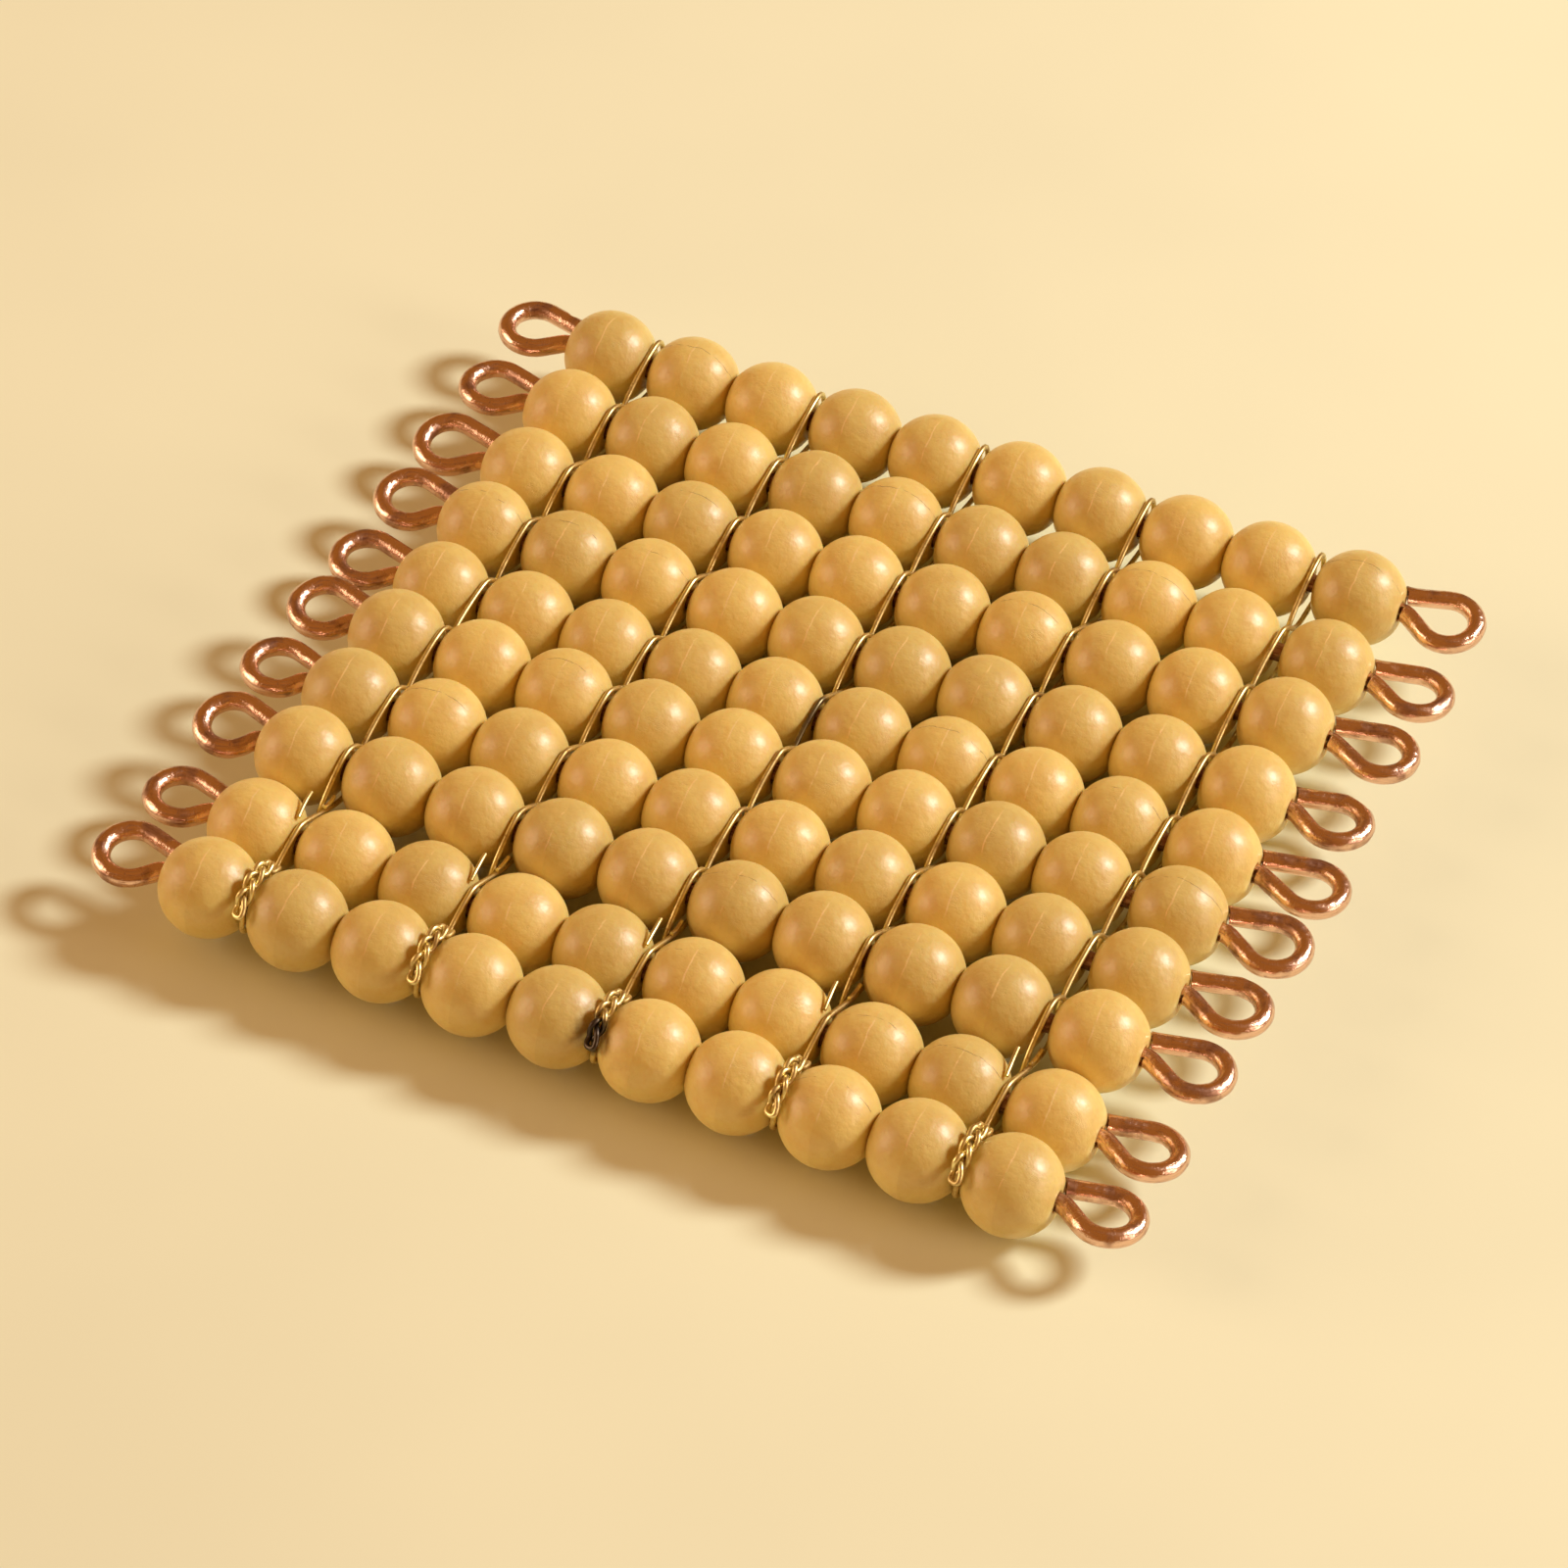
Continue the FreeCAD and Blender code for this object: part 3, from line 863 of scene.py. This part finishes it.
class LacingRoute:
    """Corners of one lacing wire, worked out from its groove's middle on each bar's axis."""

    def __init__(self, middles, beads, lacing, chance):
        self.middles = middles
        self.lacing = lacing
        self.offset = (lacing.diameter + lacing.strand_gap) / 2
        self.drift = DRIFT * self.offset
        self.parting = PARTING * self.offset
        self.seat = seat_radius(beads, lacing, 2 * self.drift)
        self.plait = lacing.plait_half_height + seat_radius(
            beads, lacing, lacing.plait_lean + PLAIT_REST * lacing.plait_half_width)
        self.crossings = [self.crossing(bar, chance) for bar in range(BARS - 1)]

    def crossing(self, bar, chance):
        """Where the strands cross behind a bar: mostly drawn tight against it, some half way."""
        front, rear = self.middles[bar:bar + 2]
        step = (rear - front).yz.length
        share = self.seat * chance.uniform(*TIGHT_CROSSING) / step
        if bar < LOOSE_FRONT or chance.random() < self.lacing.loose_share:
            share = 0.5
        return front.lerp(rear, share)

    def around(self, bar, angle, radius, shift):
        """A point round a bar's axis, at an angle from straight up towards the back."""
        axis = self.middles[bar]
        return Vector((
            axis.x + shift,
            axis.y + radius * math.sin(angle),
            axis.z + radius * math.cos(angle)))

    def slope_in(self, bar, side):
        """Slope of a strand from the crossing before a bar to its top, side 1, or underside, -1."""
        run = self.middles[bar] - self.crossings[bar - 1]
        return math.atan2(run.z, run.y) + side * math.asin(self.seat / run.yz.length)

    def slope_out(self, bar, side):
        """Slope of a strand from a bar's top or underside to the crossing behind it."""
        run = self.crossings[bar] - self.middles[bar]
        return math.atan2(run.z, run.y) - side * math.asin(self.seat / run.yz.length)

    def belt_corner(self, bar, side, first, second, shift):
        """Corner outside a bar, where two lines that touch its seat circle meet."""
        reach = side * self.seat / math.cos((first - second) / 2)
        return self.around(bar, -(first + second) / 2, reach, shift)

    def strand(self, first_side):
        """Corners of one strand round all bars but the first and last, from the front."""
        corners = []
        for bar in range(1, BARS - 1):
            side = first_side if bar % 2 == 0 else -first_side
            shift = side * self.drift
            climb = self.slope_in(bar, side)
            fall = self.slope_out(bar, side)
            crest = (climb + fall) / 2
            behind = self.crossings[bar].copy()
            behind.x += side * self.parting
            corners.append(self.belt_corner(bar, side, climb, crest, -shift))
            corners.append(self.belt_corner(bar, side, crest, fall, shift))
            corners.append(behind)
        return corners

    def fold_end(self, first_side):
        """The corners with which a strand goes round the back bar, to the middle of its back."""
        side = first_side if (BARS - 1) % 2 == 0 else -first_side
        shift = -side * self.drift
        near_corner = self.belt_corner(BARS - 1, side, self.slope_in(BARS - 1, side), 0.0, shift)
        axis = self.middles[-1]
        far = Vector((axis.x + shift, axis.y + self.seat, axis.z + side * self.seat))
        return [near_corner, far]

    def plait_run(self, phase):
        """Corners of one of the three plaited strands over the front bar, from its top down."""
        lacing = self.lacing
        steps = round(math.degrees(lacing.plait_swing) / SWING_STEP)
        corners = []
        for step in range(steps + 1):
            share = step / steps
            angle = lacing.plait_top + (lacing.plait_low - lacing.plait_top) * share
            swing = phase + lacing.plait_swing * share
            height = lacing.plait_half_height * math.sin(2 * swing)
            shift = lacing.plait_lean + lacing.plait_half_width * math.sin(swing)
            corners.append(self.around(0, angle, self.plait + height, shift))
        return corners

    def plait_eye(self, phase):
        """The turn at the plait's low end, from its first strand to its third."""
        lacing = self.lacing
        angle = lacing.plait_low - EYE_ANGLE
        side = math.copysign(lacing.plait_half_width, math.sin(lacing.plait_swing + phase))
        near_height, far_height = EYE_HEIGHTS
        return [
            self.around(0, angle, self.plait + near_height, lacing.plait_lean + side),
            self.around(0, angle, self.plait + far_height, lacing.plait_lean - side),
        ]

    def plait_hook(self):
        """The cut end that curls into the groove behind the plait's top."""
        lacing = self.lacing
        wide = lacing.plait_lean + lacing.plait_half_width
        top = lacing.plait_top
        return [
            self.around(0, top + 2 * HOOK_ANGLE, self.plait - HOOK_DEPTH, self.offset),
            self.around(0, top + HOOK_ANGLE, self.plait, wide),
        ]

    def front_underside(self):
        """Corners of the strand that comes up under the front bar into the plait."""
        reach = self.seat / math.cos(FRONT_BEND / 2)
        corners = [self.belt_corner(0, -1, self.slope_out(0, -1), 0.0, -self.drift)]
        for number, shift in enumerate((0.0, 0.0, self.lacing.plait_lean)):
            corners.append(self.around(0, math.pi + FRONT_BEND * (number + 0.5), reach, shift))
        return corners

    def tails(self, chance):
        """Points of the two cut ends left standing where the second bar was laced in."""
        axis = self.middles[1]
        # In mm from the second bar's axis: to the right, to the back and up.
        beside = chance.uniform(-0.30, -0.05)
        out = chance.uniform(0.45, 0.75)
        over = [(-0.40, 0.3, 2.35), (beside - 0.3, 1.7, 2.5 + 0.3 * out),
                (beside - 0.4, 2.9, 2.0 + out)]
        deep = [(0.35, 3.1, 1.3), (0.45, 3.75, 1.1), (out - 0.2, 4.1 + out, 0.6 + out)]
        return [[axis + Vector(point) * MM for point in tail] for tail in (over, deep)]

    def corners(self):
        """The whole wire: it starts at the front, folds at the back and returns."""
        third = math.radians(120)
        aside = Vector((self.parting, 0, 0))
        path = self.plait_hook() + self.plait_run(third) + self.plait_eye(third)
        path += self.plait_run(-third)[::-1] + [self.crossings[0] + aside]
        path += self.strand(1) + self.fold_end(1)
        path += self.fold_end(-1)[::-1] + self.strand(-1)[::-1]
        path += [self.crossings[0] - aside]
        path += self.front_underside() + self.plait_run(0.0)[::-1]
        return path


def brass_finish(lacing, soot_place, scorch_place):
    """Thin drawn brass, brown in places, sooty at the third plait and over the sixth bar."""
    material, tree, shader = new_finish("drawn_brass")
    spot = object_place(tree)
    cloud = grain(tree, spot, 600.0, 4.0)
    fine = grain(tree, spot, 3200.0, 3.0)
    worn = math_node(tree, "ADD", ramp(tree, cloud, 0.42, 0.72, 0.0, 0.7),
                     ramp(tree, fine, 0.50, 0.70, 0.0, 0.3), clamp=True)
    colour = mix_colour(tree, worn, opaque(lacing.colour), opaque(lacing.tarnish_colour))
    far = plus(tree, distance(tree, spot, soot_place), times(tree, fine, 0.8 * MM))
    soot = ramp(tree, far, 1.7 * MM, 2.5 * MM, 0.95, 0.0)
    scorch = ramp(tree, distance(tree, spot, scorch_place), 2.0 * MM, 3.2 * MM, 0.8, 0.0)
    for mask in (soot, scorch):
        colour = mix_colour(tree, mask, colour, opaque(lacing.soot_colour))
    fill_inputs(tree, shader, {
        "Base Color": colour,
        "Metallic": 1.0,
        "Roughness": plus(tree, times(tree, worn, 0.22), 0.36),
        "Normal": bumped(tree, fine, 0.4, 0.02 * MM),
    })
    return material


def soot_centre(beads):
    """Middle of the blackened part of the third plait, at its low end."""
    middle = groove_middle(bead_centres(0, beads), SOOTY_GROOVE)
    angle = math.radians(-52)
    return middle + Vector((0, math.sin(angle), math.cos(angle))) * 3.0 * MM


def scorch_centre(beads):
    """Middle of the darkened strand over the sixth bar, in the same groove."""
    middle = groove_middle(bead_centres(5, beads), SOOTY_GROOVE)
    return middle + Vector((0, -1.8, 1.6)) * MM


# Operators

class BEADSQUARE_OT_bead_rows(bpy.types.Operator):
    """Model the ten rows of ten ochre beads"""
    bl_idname = "bead_square.bead_rows"
    bl_label = "Bead rows"

    def execute(self, context):
        beads = context.scene.square_beads
        finish = plastic_finish(beads, soot_centre(beads))
        deselect_all()
        pattern = model_bead(beads)
        chance = random.Random(BEAD_SEED)
        for bar in range(BARS):
            turn = bar_turn(bar)
            copies = [
                place_bead(pattern, centre, turn, beads, chance)
                for centre in bead_centres(bar, beads)]
            row = join(copies, "ochre_beads_%02d" % (bar + 1))
            hand_over(row, finish, "bead_row_%02d" % (bar + 1))
        bpy.data.objects.remove(pattern)
        return {"FINISHED"}


class BEADSQUARE_OT_bar_wires(bpy.types.Operator):
    """Model the ten copper wires with their end loops"""
    bl_idname = "bead_square.bar_wires"
    bl_label = "Bar wires"

    def execute(self, context):
        wires = context.scene.square_wires
        finish = copper_finish(wires)
        chance = random.Random(COPPER_SEED)
        for bar in range(BARS):
            name = "looped_wire_%02d" % (bar + 1)
            points = bar_wire_points(bar, wires)
            wire = add_wire_curve(
                name, points, wires.diameter / 2, BAR_WIRE_SIDES, smooth=False)
            make_solid(wire)
            work_wire(wire, points, wires, chance)
            grind_ends(wire, bar, wires, context.scene.square_beads)
            hand_over(wire, finish, "bar_wire_%02d" % (bar + 1))
        return {"FINISHED"}


class BEADSQUARE_OT_lacing(bpy.types.Operator):
    """Model the five brass wires that lace the bars together"""
    bl_idname = "bead_square.lacing"
    bl_label = "Lacing wires"

    def execute(self, context):
        beads = context.scene.square_beads
        lacing = context.scene.square_lacing
        finish = brass_finish(lacing, soot_centre(beads), scorch_centre(beads))
        bars = [bead_centres(bar, beads) for bar in range(BARS)]
        chance = random.Random(BRASS_SEED)
        for number in range(BEADS // 2):
            middles = [groove_middle(centres, 2 * number) for centres in bars]
            route = LacingRoute(middles, beads, lacing, chance)
            name = "brass_lacing_%d" % (number + 1)
            runs = [(route.corners(), lacing.diameter / 2)]
            runs += [(tail, TAIL_RADIUS * lacing.diameter) for tail in route.tails(chance)]
            wires = [
                add_wire_curve(name, points, radius, LACING_SIDES, smooth=True)
                for points, radius in runs]
            for wire in wires:
                make_solid(wire)
            whole = join(wires, name)
            hand_over(whole, finish, "lacing_wire_%d" % (number + 1))
        return {"FINISHED"}


# Stage

LAMP_DISTANCE = 1.0
SENSOR_WIDTH = 36.0
FOCAL_PIXELS = 6599.2  # focal length in pixels of the photograph
PHOTO_WIDTH = 1600


def aim(thing, place, target, roll=0.0):
    """Put a lamp or camera at a place, looking at a target."""
    back = (place - target).normalized()
    right = Vector((0, 0, 1)).cross(back).normalized()
    up = back.cross(right)
    turned_right = right * math.cos(roll) + up * math.sin(roll)
    turned_up = up * math.cos(roll) - right * math.sin(roll)
    axes = Matrix((turned_right, turned_up, back)).transposed()
    thing.matrix_world = Matrix.Translation(place) @ axes.to_4x4()


def add_lamp(name, heading, width, power, colour):
    """A soft round lamp in the given direction, turned to the square."""
    lamp = bpy.data.lights.new(name, "AREA")
    lamp.shape = "DISK"
    lamp.size = width
    lamp.energy = power
    lamp.color = colour
    thing = bpy.data.objects.new(name, lamp)
    bpy.context.scene.collection.objects.link(thing)
    aim(thing, heading * LAMP_DISTANCE, Vector((0, 0, 0)))


def paper_finish(stage):
    """Cream paper of the floor."""
    material, tree, shader = new_finish("cream_paper")
    level = ramp(tree, grain(tree, object_place(tree), 14.0, 3.0), 0.3, 0.7, 0.97, 1.02)
    fill_inputs(tree, shader, {
        "Base Color": shade(tree, opaque(stage.floor_colour), level),
        "Roughness": 0.9,
        "Specular IOR Level": 0.1,
    })
    return material


class BEADSQUARE_OT_stage(bpy.types.Operator):
    """Lay the paper floor, set the lamps and place the camera"""
    bl_idname = "bead_square.stage"
    bl_label = "Stage"

    def execute(self, context):
        scene = context.scene
        stage = scene.square_stage
        deselect_all()
        bpy.ops.mesh.primitive_plane_add(size=stage.floor_size)
        floor = context.active_object
        floor.name = "paper_floor"
        floor.data.materials.append(paper_finish(stage))

        add_lamp("key_lamp", direction(stage.key_azimuth, stage.key_elevation),
                 width=0.24, power=stage.key_power, colour=(1.0, 0.96, 0.92))
        add_lamp("left_lamp", direction(math.radians(200), math.radians(18)),
                 width=0.6, power=stage.fill_power, colour=(1.0, 0.74, 0.54))
        add_lamp("right_lamp", direction(0.0, math.radians(20)),
                 width=0.32, power=stage.side_power, colour=(1.0, 0.80, 0.68))

        world = bpy.data.worlds.new("warm_room")
        world.use_nodes = True
        background = world.node_tree.nodes["Background"]
        background.inputs["Color"].default_value = opaque(stage.sky_colour)
        scene.world = world

        lens = bpy.data.cameras.new("camera")
        lens.sensor_width = SENSOR_WIDTH
        lens.lens = SENSOR_WIDTH * FOCAL_PIXELS / PHOTO_WIDTH
        lens.clip_start = 0.01
        lens.clip_end = 20.0
        camera = bpy.data.objects.new("camera", lens)
        scene.collection.objects.link(camera)
        target = Vector(stage.camera_target)
        back = direction(stage.camera_azimuth - math.pi / 2, stage.camera_elevation)
        aim(camera, target + back * stage.camera_distance, target, stage.camera_roll)
        scene.camera = camera
        scene.view_settings.view_transform = "Standard"
        return {"FINISHED"}


# Panel and registering

class BEADSQUARE_PT_sidebar(bpy.types.Panel):
    """Steps and sizes of the bead square"""
    bl_label = "Golden Bead Square"
    bl_space_type = "VIEW_3D"
    bl_region_type = "UI"
    bl_category = "Bead Square"

    def draw(self, context):
        column = self.layout.column()
        for step in STEPS:
            column.operator(step.bl_idname)
        column.prop(context.scene.square_beads, "diameter")
        column.prop(context.scene.square_wires, "diameter")
        column.prop(context.scene.square_lacing, "diameter")


STEPS = (
    BEADSQUARE_OT_bead_rows,
    BEADSQUARE_OT_bar_wires,
    BEADSQUARE_OT_lacing,
    BEADSQUARE_OT_stage,
)
SETTINGS = {
    "square_beads": BeadSettings,
    "square_wires": BarWireSettings,
    "square_lacing": LacingSettings,
    "square_stage": StageSettings,
}


def register():
    for name, settings in SETTINGS.items():
        bpy.utils.register_class(settings)
        setattr(bpy.types.Scene, name, bpy.props.PointerProperty(type=settings))
    for step in STEPS:
        bpy.utils.register_class(step)
    bpy.utils.register_class(BEADSQUARE_PT_sidebar)


def unregister():
    bpy.utils.unregister_class(BEADSQUARE_PT_sidebar)
    for step in reversed(STEPS):
        bpy.utils.unregister_class(step)
    for name, settings in reversed(list(SETTINGS.items())):
        delattr(bpy.types.Scene, name)
        bpy.utils.unregister_class(settings)


def main():
    register()
    bpy.ops.bead_square.bead_rows()
    bpy.ops.bead_square.bar_wires()
    bpy.ops.bead_square.lacing()
    bpy.ops.bead_square.stage()


if __name__ == "__main__":
    main()
